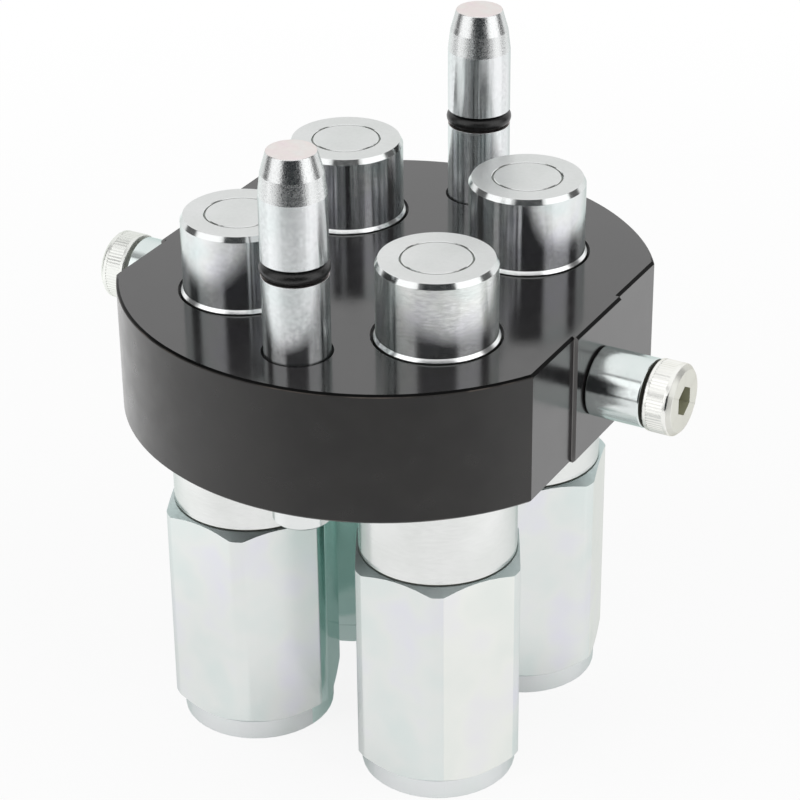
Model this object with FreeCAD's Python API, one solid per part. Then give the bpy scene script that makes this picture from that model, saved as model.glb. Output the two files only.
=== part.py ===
import FreeCAD, Part
import math
import os

# Plug half of a four-line hydraulic multi-coupling, in millimetres.
# A black anodised plate carries four flat-face couplings, two guide pins and two cam rollers.
# The origin is the centre of the plate's top face, where the two halves meet.
# +Z points towards the other half, and X runs along the two cam rollers.

# Plate: a turned disc with two milled flats and a raised pad in the middle of each flat
plate_diameter = 119.0
plate_thickness = 30.4
plate_across_flats = 102.6
pad_proud = 0.95
pad_width = 21.6
plate_edge_break = 0.6

# Where the four lines stand in the plate: the front pair is a little further apart than the back pair
line_places = {"front": (25.3, -23.25), "right": (23.5, 22.4), "back": (-22.7, 22.4), "left": (-22.7, -23.25)}

# Clearances and fits, all radial unless they say otherwise
running_clearance = 0.05
thread_clearance = 0.05
press_clearance = 0.03
seal_gap = 0.02
seal_section_sides = 8
body_hole_clearance = 0.23
spring_end_gap = 0.1

# Nose body: the turned steel body that stands through the plate
nose_diameter = 26.1
nose_height = 17.9
nose_chamfer_width = 0.65
nose_chamfer_height = 1.2
shoulder_diameter = 35.0
shoulder_length = 21.35
shoulder_edge_break = 0.45
chamber_diameter = 21.6
chamber_floor_depth = 34.0

# Retaining ring that holds the nose body down, seated in a counterbore and standing a little above the plate
ring_outer_diameter = 27.2
ring_seat_depth = 2.0
ring_proud = 0.9
ring_slope_height = 0.8
ring_groove_depth = 0.7
ring_gap_degrees = 16.0
ring_gap_turn = 118.0
ring_recess_clearance = 0.6

# Flat-face poppet, flush with the end of the nose
poppet_diameter = 15.6
poppet_land_length = 10.0
poppet_edge_break = 0.2
poppet_flange_diameter = 18.6
poppet_flange_thickness = 2.5
poppet_boss_diameter = 8.6
poppet_boss_length = 4.0
poppet_tail_diameter = 6.0
poppet_tail_engagement = 4.6
poppet_tail_chamfer = 0.6
poppet_seal_section = 1.78
poppet_seal_depth = 4.4

# Spring and the cage that guides the poppet's tail
spring_wire = 2.0
spring_wire_sides = 8
spring_mean_diameter = 12.8
spring_turns = 5.5
cage_diameter = 24.0
cage_thickness = 4.0
cage_rim_width = 2.2
cage_arms = 3
cage_arm_width = 3.4
cage_seat_diameter = 17.0
cage_seat_thickness = 1.2
cage_hub_diameter = 9.6
cage_hub_height = 6.0

# Port adaptor: the long hexagon below the plate
hex_across_flats = 36.0
hex_corner_diameter = 40.0
hex_length = 51.4
hex_top_angle = 30.0
hex_bottom_angle = 40.0
hex_land_diameter = 35.3
adaptor_end_diameter = 35.0
adaptor_end_length = 4.9
adaptor_end_chamfer = 0.6
adaptor_thread_diameter = 28.0
adaptor_thread_length = 9.2
adaptor_seal_section = 1.78
flow_bore_diameter = 18.0
port_core_diameter = 24.12
port_depth = 20.0
port_mouth_chamfer = 1.3
port_drill_angle = 118.0

# How far each hexagon has turned when it is tight
hex_turns = {"front": -2.0, "right": -13.5, "back": 11.0, "left": -8.5}

# Guide pins: the front one stands off the centre line so that the halves can't be joined wrong
guide_places = {"front": (3.0, -43.2), "back": (-0.3, 45.0)}
guide_diameter = 14.3
guide_height = 45.4
guide_seat_depth = 16.0
guide_rim_chamfer = 0.5
guide_tip_diameter = 10.5
guide_tip_edge_break = 0.35
guide_cone_diameter = 13.2
guide_cone_height = 40.6
guide_taper_height = 35.9
guide_groove_bottom = 17.85
guide_groove_width = 3.65
guide_seal_section = 3.2
guide_seal_proud = 0.3

# Cap screw and lock washer that pull each guide pin down
guide_screw_diameter = 8.0
guide_screw_engagement = 14.0
guide_tap_extra_depth = 2.0
guide_screw_head_diameter = 13.0
guide_screw_head_height = 8.0
guide_screw_socket = 6.0
guide_screw_socket_depth = 4.0
guide_screw_hole_clearance = 0.5
washer_outer_diameter = 14.8
washer_thickness = 2.0
washer_slit = 1.6
head_edge_break = 0.6

# Cam rollers and the shoulder screws they turn on
roller_diameter = 15.4
roller_length = 12.5
roller_edge_break = 0.4
roller_side_play = 0.3
roller_head_gap = 0.85
cam_shoulder_diameter = 11.0
cam_thread_diameter = 10.0
cam_thread_length = 18.0
cam_hole_extra_depth = 3.0
cam_head_diameter = 16.0
cam_head_height = 6.45
cam_head_chamfer = 0.9
cam_head_under_break = 0.3
cam_socket = 6.0
cam_socket_depth = 3.5

UP = FreeCAD.Vector(0, 0, 1)
CENTRE = FreeCAD.Vector(0, 0, 0)

# Heights that several pieces share, worked out from the sizes above
plate_bottom = -plate_thickness
shoulder_bottom = plate_bottom - shoulder_length
land_bottom = nose_height - poppet_land_length
flange_bottom = land_bottom - poppet_flange_thickness
chamber_floor = -chamber_floor_depth
cage_bottom = chamber_floor - cage_thickness
cage_seat_top = chamber_floor + cage_seat_thickness
cage_hub_top = chamber_floor + cage_hub_height
thread_top = shoulder_bottom + adaptor_thread_length
hex_bottom = shoulder_bottom - hex_length
adaptor_bottom = hex_bottom - adaptor_end_length
ring_top = ring_proud
ring_bottom = -ring_seat_depth
pilot_radius = cage_diameter / 2
pilot_bore_radius = pilot_radius + running_clearance
pad_face = plate_across_flats / 2 + pad_proud
washer_bottom = plate_bottom - washer_thickness
cam_height = -plate_thickness / 2


def turned(points):
    """Solid of revolution about Z from a closed outline of (radius, height) points."""
    corners = [FreeCAD.Vector(radius, 0, height) for radius, height in points]
    outline = Part.makePolygon(corners + corners[:1])
    return Part.Face(outline).revolve(CENTRE, UP, 360)


def rod(radius, low, high):
    """Plain cylinder about Z between two heights."""
    return Part.makeCylinder(radius, high - low, FreeCAD.Vector(0, 0, low))


def regular_corners(count, radius):
    """Corners of a regular polygon as (across, along) pairs, with the first one repeated at the end."""
    angles = [2 * math.pi * step / count for step in range(count + 1)]
    return [(radius * math.cos(angle), radius * math.sin(angle)) for angle in angles]


def hexagon(across_flats, low, high):
    """Hexagonal prism about Z with two corners on the X axis."""
    pairs = regular_corners(6, across_flats / math.sqrt(3))
    corners = [FreeCAD.Vector(x, y, low) for x, y in pairs]
    return Part.Face(Part.makePolygon(corners)).extrude(UP * (high - low))


def seal_ring(outer_radius, section, height):
    """Round-section sealing ring with its centre at the given height."""
    return Part.makeTorus(outer_radius - section / 2, section / 2, FreeCAD.Vector(0, 0, height), UP)


def hidden_seal_ring(outer_radius, section, height):
    """Sealing ring with an eight-sided section, whose flats touch the round section that it stands for."""
    half = section / 2
    flat = half * math.tan(math.pi / seal_section_sides)
    middle = outer_radius - half
    return turned([
        (middle + half, height - flat),
        (middle + half, height + flat),
        (middle + flat, height + half),
        (middle - flat, height + half),
        (middle - half, height + flat),
        (middle - half, height - flat),
        (middle - flat, height - half),
        (middle + flat, height - half),
    ])


def groove(outer_radius, depth, low, high):
    """Ring-shaped cutter that leaves a square groove in a turned piece."""
    spare = 1.0
    return rod(outer_radius + spare, low, high).cut(rod(outer_radius - depth, low, high))


def moved(shape, x, y, turn=0.0):
    """Copy of a shape, turned about Z in degrees and then moved in the plane of the plate."""
    result = shape.copy()
    result.rotate(CENTRE, UP, turn)
    result.translate(FreeCAD.Vector(x, y, 0))
    return result


def sideways(shape, side):
    """Lay a shape that was made along +Z out along +X (side 1) or -X (side -1) at the cam height."""
    result = shape.copy()
    result.rotate(CENTRE, FreeCAD.Vector(0, 1, 0), 90 * side)
    result.translate(FreeCAD.Vector(0, 0, cam_height))
    return result


def flats_slab(half_width, depth):
    """Prism along Y with broken long edges, which cuts the two flats out of the disc."""
    edge = plate_edge_break
    corners = [
        (-half_width, plate_bottom + edge),
        (-half_width + edge, plate_bottom),
        (half_width - edge, plate_bottom),
        (half_width, plate_bottom + edge),
        (half_width, -edge),
        (half_width - edge, 0),
        (-half_width + edge, 0),
        (-half_width, -edge),
    ]
    points = [FreeCAD.Vector(x, -depth / 2, z) for x, z in corners]
    outline = Part.makePolygon(points + points[:1])
    return Part.Face(outline).extrude(FreeCAD.Vector(0, depth, 0))


def make_plate():
    """Disc with flats, pads and every hole that the other pieces seat in."""
    radius = plate_diameter / 2
    edge = plate_edge_break
    disc = turned([
        (0, plate_bottom),
        (radius - edge, plate_bottom),
        (radius, plate_bottom + edge),
        (radius, -edge),
        (radius - edge, 0),
        (0, 0),
    ])
    core = disc.common(flats_slab(plate_across_flats / 2, plate_diameter))
    pads = disc.common(flats_slab(pad_face, pad_width))
    plate = core.fuse(pads).removeSplitter()

    recess_radius = ring_outer_diameter / 2 + ring_recess_clearance
    line_hole = rod(nose_diameter / 2 + body_hole_clearance, plate_bottom, 0)
    line_hole = line_hole.fuse(rod(recess_radius, ring_bottom, 0))
    for place in line_places.values():
        plate = plate.cut(moved(line_hole, *place))

    seat_radius = guide_diameter / 2 + press_clearance
    screw_radius = guide_screw_diameter / 2 + guide_screw_hole_clearance
    guide_hole = turned([
        (0, plate_bottom),
        (screw_radius, plate_bottom),
        (screw_radius, -guide_seat_depth),
        (seat_radius, -guide_seat_depth),
        (seat_radius, -guide_rim_chamfer),
        (seat_radius + guide_rim_chamfer, 0),
        (0, 0),
    ])
    for place in guide_places.values():
        plate = plate.cut(moved(guide_hole, *place))

    cam_hole_depth = cam_thread_length + cam_hole_extra_depth
    cam_hole = rod(cam_thread_diameter / 2 + thread_clearance, pad_face - cam_hole_depth, pad_face)
    for side in (1, -1):
        plate = plate.cut(sideways(cam_hole, side))
    return plate


def make_nose_body():
    """Nose, shank and shoulder in one turned piece, with the valve chamber through it."""
    nose_radius = nose_diameter / 2
    land_radius = poppet_diameter / 2 + running_clearance
    shoulder_radius = shoulder_diameter / 2
    thread_radius = adaptor_thread_diameter / 2 + thread_clearance
    edge = shoulder_edge_break
    body = turned([
        (land_radius + poppet_edge_break, nose_height),
        (nose_radius - nose_chamfer_width, nose_height),
        (nose_radius, nose_height - nose_chamfer_height),
        (nose_radius, plate_bottom),
        (shoulder_radius - edge, plate_bottom),
        (shoulder_radius, plate_bottom - edge),
        (shoulder_radius, shoulder_bottom + edge),
        (shoulder_radius - edge, shoulder_bottom),
        (thread_radius, shoulder_bottom),
        (thread_radius, thread_top),
        (pilot_bore_radius, thread_top),
        (pilot_bore_radius, chamber_floor),
        (chamber_diameter / 2, chamber_floor),
        (chamber_diameter / 2, land_bottom),
        (land_radius, land_bottom),
        (land_radius, nose_height - poppet_edge_break),
    ])
    return body.cut(groove(nose_radius, ring_groove_depth, ring_bottom, ring_top))


def make_retaining_ring():
    """Split ring in the nose's groove and on the ledge of the plate's counterbore, with a sloping upper edge."""
    nose_radius = nose_diameter / 2
    inner = nose_radius - ring_groove_depth
    outer = ring_outer_diameter / 2
    ring = turned([
        (inner, ring_bottom),
        (outer, ring_bottom),
        (outer, ring_top - ring_slope_height),
        (nose_radius, ring_top),
        (inner, ring_top),
    ])
    gap_width = 2 * outer * math.sin(math.radians(ring_gap_degrees / 2))
    gap_corner = FreeCAD.Vector(0, -gap_width / 2, ring_bottom)
    gap = Part.makeBox(2 * outer, gap_width, ring_top - ring_bottom, gap_corner)
    return ring.cut(gap)


def make_poppet():
    """Flat-face valve: land, seat flange, spring boss and guide tail."""
    land_radius = poppet_diameter / 2
    boss_bottom = flange_bottom - poppet_boss_length
    tail_radius = poppet_tail_diameter / 2
    tail_bottom = cage_hub_top - poppet_tail_engagement
    poppet = turned([
        (0, nose_height),
        (land_radius - poppet_edge_break, nose_height),
        (land_radius, nose_height - poppet_edge_break),
        (land_radius, land_bottom),
        (poppet_flange_diameter / 2, land_bottom),
        (poppet_flange_diameter / 2, flange_bottom),
        (poppet_boss_diameter / 2, flange_bottom),
        (poppet_boss_diameter / 2, boss_bottom),
        (tail_radius, boss_bottom),
        (tail_radius, tail_bottom + poppet_tail_chamfer),
        (tail_radius - poppet_tail_chamfer, tail_bottom),
        (0, tail_bottom),
    ])
    seal_height = nose_height - poppet_seal_depth
    half_width = poppet_seal_section / 2 + 2 * seal_gap
    depth = poppet_seal_section - running_clearance + 2 * seal_gap
    return poppet.cut(groove(land_radius, depth, seal_height - half_width, seal_height + half_width))


def make_poppet_seal():
    """Sealing ring round the poppet's land, just clear of the nose's bore."""
    outer = poppet_diameter / 2 + running_clearance - seal_gap
    return hidden_seal_ring(outer, poppet_seal_section, nose_height - poppet_seal_depth)


def make_spring():
    """Compression spring from the cage's seat to the poppet's flange, of wire with an eight-sided section."""
    wire_radius = spring_wire / 2
    low = cage_seat_top + spring_end_gap + wire_radius
    high = flange_bottom - spring_end_gap - wire_radius
    rise = high - low
    mean_radius = spring_mean_diameter / 2
    path = Part.Wire(Part.makeHelix(rise / spring_turns, rise, mean_radius).Edges)
    pairs = regular_corners(spring_wire_sides, wire_radius)
    section = Part.makePolygon([FreeCAD.Vector(mean_radius + x, 0, z) for x, z in pairs])
    spring = path.makePipeShell([section], True, True)
    spring.translate(FreeCAD.Vector(0, 0, low))
    return spring


def make_cage():
    """Spider that guides the poppet's tail and carries the spring, with the flow between its arms."""
    rim = rod(pilot_radius, cage_bottom, chamber_floor)
    rim = rim.cut(rod(pilot_radius - cage_rim_width, cage_bottom, chamber_floor))
    cage = rim.fuse(rod(cage_hub_diameter / 2, cage_bottom, cage_hub_top))
    cage = cage.fuse(rod(cage_seat_diameter / 2, chamber_floor, cage_seat_top))
    arm_reach = pilot_radius - cage_rim_width / 2
    arm_corner = FreeCAD.Vector(0, -cage_arm_width / 2, cage_bottom)
    arm = Part.makeBox(arm_reach, cage_arm_width, cage_thickness, arm_corner)
    for step in range(cage_arms):
        cage = cage.fuse(moved(arm, 0, 0, step * 360 / cage_arms))
    guide = rod(poppet_tail_diameter / 2 + running_clearance, cage_bottom, cage_hub_top)
    return cage.cut(guide).removeSplitter()


def make_adaptor():
    """Long hexagon with a threaded spigot above and the female port below."""
    corner = hex_corner_diameter / 2
    land = hex_land_diameter / 2
    top_drop = (corner - land) * math.tan(math.radians(hex_top_angle))
    bottom_rise = (corner - land) * math.tan(math.radians(hex_bottom_angle))
    envelope = turned([
        (0, hex_bottom),
        (land, hex_bottom),
        (corner, hex_bottom + bottom_rise),
        (corner, shoulder_bottom - top_drop),
        (land, shoulder_bottom),
        (0, shoulder_bottom),
    ])
    body = hexagon(hex_across_flats, hex_bottom, shoulder_bottom).common(envelope)

    end_radius = adaptor_end_diameter / 2
    chamfer = adaptor_end_chamfer
    end = turned([
        (0, adaptor_bottom),
        (end_radius - chamfer, adaptor_bottom),
        (end_radius, adaptor_bottom + chamfer),
        (end_radius, hex_bottom),
        (0, hex_bottom),
    ])
    spigot = rod(adaptor_thread_diameter / 2, shoulder_bottom, thread_top)
    spigot = spigot.fuse(rod(pilot_radius, thread_top, cage_bottom))
    seal_low, seal_high = adaptor_seal_span()
    seal_depth = adaptor_seal_section - running_clearance + 2 * seal_gap
    spigot = spigot.cut(groove(pilot_radius, seal_depth, seal_low, seal_high))

    port_radius = port_core_diameter / 2
    bore_radius = flow_bore_diameter / 2
    port_top = adaptor_bottom + port_depth
    cone_rise = (port_radius - bore_radius) / math.tan(math.radians(port_drill_angle / 2))
    passage = turned([
        (0, adaptor_bottom),
        (port_radius + port_mouth_chamfer, adaptor_bottom),
        (port_radius, adaptor_bottom + port_mouth_chamfer),
        (port_radius, port_top),
        (bore_radius, port_top + cone_rise),
        (bore_radius, cage_bottom),
        (0, cage_bottom),
    ])
    return body.fuse(end).fuse(spigot).cut(passage).removeSplitter()


def adaptor_seal_span():
    """Low and high ends of the seal groove, in the middle of the adaptor's pilot."""
    middle = (thread_top + cage_bottom) / 2
    half_width = adaptor_seal_section / 2 + 2 * seal_gap
    return middle - half_width, middle + half_width


def make_adaptor_seal():
    """Sealing ring on the adaptor's pilot, just clear of the nose body's bore."""
    low, high = adaptor_seal_span()
    return hidden_seal_ring(pilot_bore_radius - seal_gap, adaptor_seal_section, (low + high) / 2)


def make_guide_pin():
    """Guide pin with a two-stage nose, a seal groove and a tapped hole from below."""
    radius = guide_diameter / 2
    tip_radius = guide_tip_diameter / 2
    edge = guide_tip_edge_break
    tapped_radius = guide_screw_diameter / 2 + thread_clearance
    tapped_top = guide_screw_engagement + guide_tap_extra_depth - guide_seat_depth
    pin = turned([
        (tapped_radius, -guide_seat_depth),
        (radius, -guide_seat_depth),
        (radius, guide_taper_height),
        (guide_cone_diameter / 2, guide_cone_height),
        (tip_radius, guide_height - edge),
        (tip_radius - edge, guide_height),
        (0, guide_height),
        (0, tapped_top),
        (tapped_radius, tapped_top),
    ])
    depth = guide_seal_section - guide_seal_proud + 2 * seal_gap
    top = guide_groove_bottom + guide_groove_width
    return pin.cut(groove(radius, depth, guide_groove_bottom, top))


def make_guide_seal():
    """Thick sealing ring that stands a little proud of the guide pin."""
    height = guide_groove_bottom + guide_seal_section / 2 + 2 * seal_gap
    return seal_ring(guide_diameter / 2 + guide_seal_proud, guide_seal_section, height)


def make_guide_screw():
    """Socket cap screw that pulls the guide pin down into the plate."""
    shank_radius = guide_screw_diameter / 2
    head_radius = guide_screw_head_diameter / 2
    head_bottom = washer_bottom - guide_screw_head_height
    shank_top = guide_screw_engagement - guide_seat_depth
    screw = turned([
        (0, head_bottom),
        (head_radius - head_edge_break, head_bottom),
        (head_radius, head_bottom + head_edge_break),
        (head_radius, washer_bottom),
        (shank_radius, washer_bottom),
        (shank_radius, shank_top - head_edge_break),
        (shank_radius - head_edge_break, shank_top),
        (0, shank_top),
    ])
    socket = hexagon(guide_screw_socket, head_bottom, head_bottom + guide_screw_socket_depth)
    return screw.cut(socket)


def make_lock_washer():
    """Split spring washer under the guide pin's screw."""
    inner = guide_screw_diameter / 2 + thread_clearance
    outer = washer_outer_diameter / 2
    washer = rod(outer, washer_bottom, plate_bottom).cut(rod(inner, washer_bottom, plate_bottom))
    slit_corner = FreeCAD.Vector(0, -washer_slit / 2, washer_bottom)
    return washer.cut(Part.makeBox(outer, washer_slit, washer_thickness, slit_corner))


def make_roller():
    """Hardened bush that turns on the cam screw's shoulder, drawn along Z from the plate's centre."""
    outer = roller_diameter / 2
    inner = cam_shoulder_diameter / 2 + running_clearance
    low = pad_face + roller_side_play
    high = low + roller_length
    edge = roller_edge_break
    return turned([
        (inner, low),
        (outer - edge, low),
        (outer, low + edge),
        (outer, high - edge),
        (outer - edge, high),
        (inner, high),
    ])


def make_cam_screw():
    """Low-head shoulder screw that carries a roller, drawn along Z from the plate's centre."""
    under_head = pad_face + roller_side_play + roller_length + roller_head_gap
    head_top = under_head + cam_head_height
    head_radius = cam_head_diameter / 2
    shoulder_radius = cam_shoulder_diameter / 2
    thread_radius = cam_thread_diameter / 2
    tip = pad_face - cam_thread_length
    screw = turned([
        (0, tip),
        (thread_radius - head_edge_break, tip),
        (thread_radius, tip + head_edge_break),
        (thread_radius, pad_face),
        (shoulder_radius, pad_face),
        (shoulder_radius, under_head),
        (head_radius - cam_head_under_break, under_head),
        (head_radius, under_head + cam_head_under_break),
        (head_radius, head_top - cam_head_chamfer),
        (head_radius - cam_head_chamfer, head_top),
        (0, head_top),
    ])
    return screw.cut(hexagon(cam_socket, head_top - cam_socket_depth, head_top))


def build():
    """Every node of the model by name."""
    nodes = {"plate": make_plate()}
    line_pieces = {
        "nose_body": make_nose_body(),
        "retaining_ring": make_retaining_ring(),
        "poppet": make_poppet(),
        "poppet_seal": make_poppet_seal(),
        "poppet_spring": make_spring(),
        "spring_cage": make_cage(),
        "port_adaptor": make_adaptor(),
        "adaptor_seal": make_adaptor_seal(),
    }
    for name, place in line_places.items():
        turns = {"port_adaptor": hex_turns[name], "retaining_ring": ring_gap_turn}
        for piece, shape in line_pieces.items():
            nodes[f"{piece}_{name}"] = moved(shape, *place, turns.get(piece, 0.0))

    guide_pieces = {
        "guide_pin": make_guide_pin(),
        "guide_pin_seal": make_guide_seal(),
        "guide_pin_screw": make_guide_screw(),
        "guide_pin_washer": make_lock_washer(),
    }
    for name, place in guide_places.items():
        for piece, shape in guide_pieces.items():
            nodes[f"{piece}_{name}"] = moved(shape, *place)

    cam_pieces = {"cam_roller": make_roller(), "cam_screw": make_cam_screw()}
    for name, side in (("right", 1), ("left", -1)):
        for piece, shape in cam_pieces.items():
            nodes[f"{piece}_{name}"] = sideways(shape, side)
    return nodes


os.makedirs("parts", exist_ok=True)
for node, solid in build().items():
    solid.exportStep(f"parts/{node}.step")
    print(node, len(solid.Solids), round(solid.Volume, 1), solid.isValid())
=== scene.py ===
"""Looks of the plug half of a hydraulic multi-coupling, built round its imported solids."""

import functools
import logging
import math
from collections.abc import Callable, Sequence
from dataclasses import dataclass, replace
from enum import Enum
from typing import ClassVar

import bmesh
import bpy
from mathutils import Euler, Matrix, Vector


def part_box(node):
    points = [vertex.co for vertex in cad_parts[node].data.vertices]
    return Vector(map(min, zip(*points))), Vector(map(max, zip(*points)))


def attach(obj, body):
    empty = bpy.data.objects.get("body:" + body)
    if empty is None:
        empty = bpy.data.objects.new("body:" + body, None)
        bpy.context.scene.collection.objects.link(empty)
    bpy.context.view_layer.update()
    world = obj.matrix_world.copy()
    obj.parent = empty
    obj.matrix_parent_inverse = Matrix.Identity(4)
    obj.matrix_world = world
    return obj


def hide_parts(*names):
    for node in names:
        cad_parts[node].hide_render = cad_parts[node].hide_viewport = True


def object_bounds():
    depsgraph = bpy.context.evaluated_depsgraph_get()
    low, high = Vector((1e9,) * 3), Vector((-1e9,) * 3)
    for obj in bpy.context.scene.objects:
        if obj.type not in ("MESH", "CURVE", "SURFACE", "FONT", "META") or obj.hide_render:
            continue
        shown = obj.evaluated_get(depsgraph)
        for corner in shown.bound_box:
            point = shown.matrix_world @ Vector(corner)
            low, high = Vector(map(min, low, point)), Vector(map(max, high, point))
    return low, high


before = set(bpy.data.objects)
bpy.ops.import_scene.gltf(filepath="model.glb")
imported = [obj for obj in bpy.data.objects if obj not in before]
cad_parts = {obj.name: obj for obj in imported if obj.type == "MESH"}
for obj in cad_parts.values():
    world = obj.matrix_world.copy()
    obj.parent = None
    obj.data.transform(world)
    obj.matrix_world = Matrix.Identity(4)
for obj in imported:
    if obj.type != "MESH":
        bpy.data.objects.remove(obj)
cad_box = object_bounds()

log = logging.getLogger("multi_coupling")

MM = 0.001
PLATE_BODY = "coupling_plate"
WELD_DISTANCE = 0.0005 * MM
HARD_TURN = math.radians(35)
MARK_LENGTH = 60.0
ROUND_STEPS = 3
ROUND_REACH = 0.45
END_COSINE = 0.95
HEXAGON_CROWD = (-1.2, -0.8, -0.5, -0.25, 0.0, 0.25, 0.5, 0.8, 1.2)
HEXAGON_OPEN = (-16.0, -8.0, 0.0, 8.0, 16.0)

Edge = bmesh.types.BMEdge
Material = bpy.types.Material
Mesh = bpy.types.Mesh
Node = bpy.types.Node
Shape = bmesh.types.BMesh
Socket = bpy.types.NodeSocket
Tree = bpy.types.NodeTree
Point = tuple[float, float]
Corner = tuple[float, ...]
OutlineAt = Callable[[float], list[Point]]


# Places and small helpers


class Axis(Enum):
    """Direction of a turned piece's axis, as the turn that lays +Z along it."""

    UP = (0.0, 0.0, 0.0)
    RIGHT = (0.0, math.pi / 2, 0.0)
    LEFT = (0.0, -math.pi / 2, 0.0)

    @property
    def letter(self) -> str:
        """Name of the frame's axis that this direction lies along."""
        return "Z" if self is Axis.UP else "X"


@dataclass(frozen=True)
class Place:
    """Where a piece stands: a label, the point its own sizes are measured from, and its axis."""

    label: str
    centre: Vector
    axis: Axis = Axis.UP

    @property
    def matrix(self) -> Matrix:
        """Lays a piece that was made along +Z at the origin where it belongs."""
        return Matrix.Translation(self.centre) @ Euler(self.axis.value).to_matrix().to_4x4()


@functools.cache
def box_of(node: str) -> tuple[Vector, Vector]:
    """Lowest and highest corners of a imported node's box, in millimetres."""
    low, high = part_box(node)
    return Vector(low) / MM, Vector(high) / MM


def add_object(name: str, data: bpy.types.ID) -> bpy.types.Object:
    """Make an object and put it in the scene."""
    made = bpy.data.objects.new(name, data)
    bpy.context.scene.collection.objects.link(made)
    return made


# Nodes


def linear(code: str) -> tuple[float, float, float, float]:
    """Turn an sRGB hex colour into the linear values that Blender's sockets take.

    Args:
        code: Six hex digits.

    Returns:
        Red, green, blue and an alpha of 1.
    """
    parts = [int(code[start:start + 2], 16) / 255 for start in (0, 2, 4)]
    values = [part / 12.92 if part <= 0.04045 else ((part + 0.055) / 1.055) ** 2.4 for part in parts]
    return (*values, 1.0)


def add_node(tree: Tree, kind: str, inputs: dict | None = None, **settings) -> Node:
    """Add one node with its settings, and set or link its inputs.

    Args:
        tree: The node tree that gets the node.
        kind: Blender's name of the node's type.
        inputs: Values or sockets by the input's name or number.
        **settings: The node's own properties.

    Returns:
        The new node.
    """
    node = tree.nodes.new(kind)
    for key, value in settings.items():
        setattr(node, key, value)
    for key, value in (inputs or {}).items():
        if isinstance(value, Socket):
            tree.links.new(value, node.inputs[key])
        else:
            node.inputs[key].default_value = value
    return node


def calc(tree: Tree, operation: str, *values: Socket | float) -> Socket:
    """Result of one sum, such as ADD or MULTIPLY."""
    return add_node(tree, "ShaderNodeMath", dict(enumerate(values)), operation=operation).outputs[0]


def between(tree: Tree, value: Socket, low: Socket | float, high: Socket | float, start: float = 0.0,
            end: float = 1.0, **settings) -> Socket:
    """Follow a value from start to end with a result from low to high."""
    return add_node(tree, "ShaderNodeMapRange", {
        "Value": value, "From Min": start, "From Max": end, "To Min": low, "To Max": high,
    }, **settings).outputs[0]


def emptied_tree(owner: Material | bpy.types.World) -> Tree:
    """Give a material or a world an empty node tree."""
    owner.use_nodes = True
    owner.node_tree.nodes.clear()
    return owner.node_tree


def noise(tree: Tree, local: Socket, size: float | tuple[float, ...], detail: float = 2.0) -> Socket:
    """Noise whose grain has a real size.

    Args:
        tree: The material's node tree.
        local: Pattern coordinates in millimetres.
        size: Grain size in millimetres, the same all ways or one for each axis.
        detail: Octaves of finer noise.

    Returns:
        The noise's factor, stretched so that its usual range is 0 to 1.
    """
    usual = (0.3, 0.7)
    sizes = size if isinstance(size, tuple) else (size, size, size)
    scaled = add_node(tree, "ShaderNodeMapping", {"Vector": local, "Scale": [1 / part for part in sizes]})
    texture = add_node(tree, "ShaderNodeTexNoise", {
        "Vector": scaled.outputs[0], "Scale": 1.0, "Detail": detail, "Roughness": 0.5,
    })
    return between(tree, texture.outputs["Fac"], 0.0, 1.0, *usual, clamp=False)


def tones(tree: Tree, factor: Socket, codes: Sequence[str]) -> Socket:
    """Colours that follow a noise, evenly spaced over its range."""
    ramp = add_node(tree, "ShaderNodeValToRGB", {"Fac": factor})
    elements = ramp.color_ramp.elements
    while len(elements) < len(codes):
        elements.new(0.5)
    for number, code in enumerate(codes):
        elements[number].position = number / (len(codes) - 1)
        elements[number].color = linear(code)
    return ramp.outputs["Color"]


def relief(tree: Tree, layers: Sequence[tuple[Socket, float]]) -> Socket:
    """Bump from several layers.

    Args:
        tree: The material's node tree.
        layers: Pairs of a height pattern from 0 to 1 and its height in millimetres.

    Returns:
        The bumped normal.
    """
    total = 0.0
    for pattern, height in layers:
        total = calc(tree, "MULTIPLY_ADD", pattern, height, total)
    return add_node(tree, "ShaderNodeBump", {"Height": total, "Distance": MM, "Strength": 1.0}).outputs[0]


# Finishes


@dataclass(frozen=True)
class Finish:
    """What every finish shares: name, colours, and patterns in millimetres along the piece's axis."""

    label: str
    codes: tuple[str, ...]

    def material(self, place: Place) -> Material:
        """Make this finish's material for a piece at a place.

        Args:
            place: Where the piece stands, which centres and turns the patterns.

        Returns:
            The new material.
        """
        material = bpy.data.materials.new(f"{self.label}_{place.label}")
        tree = emptied_tree(material)
        local = add_node(tree, "ShaderNodeMapping", {
            "Vector": add_node(tree, "ShaderNodeTexCoord").outputs["Object"],
            "Location": place.centre,
            "Rotation": place.axis.value,
            "Scale": (MM, MM, MM),
        }, vector_type="TEXTURE")
        shader = self.shader(tree, local.outputs[0], place)
        add_node(tree, "ShaderNodeOutputMaterial", {"Surface": shader.outputs[0]})
        return material

    def shader(self, tree: Tree, local: Socket, place: Place) -> Node:
        """Build the nodes of the finish and return its shader node."""
        raise NotImplementedError


@dataclass(frozen=True)
class CutMetal(Finish):
    """Metal with tool marks round the piece's axis and a fine grain."""

    roughness: float = 0.15
    roughness_spread: float = 0.05
    anisotropy: float = 0.0
    line_size: float = 0.5
    line_height: float = 0.0
    grain_size: float = 0.8
    grain_height: float = 0.003

    def tool_marks(self, tree: Tree, local: Socket, place: Place) -> dict[str, Socket | float]:
        """Shader inputs that draw a mirror out across the tool marks and make the marks' relief."""
        lines = noise(tree, local, (MARK_LENGTH, MARK_LENGTH, self.line_size), 3.0)
        grain = noise(tree, local, self.grain_size)
        tangent = add_node(tree, "ShaderNodeTangent", direction_type="RADIAL", axis=place.axis.letter)
        return {
            "Anisotropic": self.anisotropy,
            "Anisotropic Rotation": 0.25,
            "Tangent": tangent.outputs[0],
            "Normal": relief(tree, [(lines, self.line_height), (grain, self.grain_height)]),
        }


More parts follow.
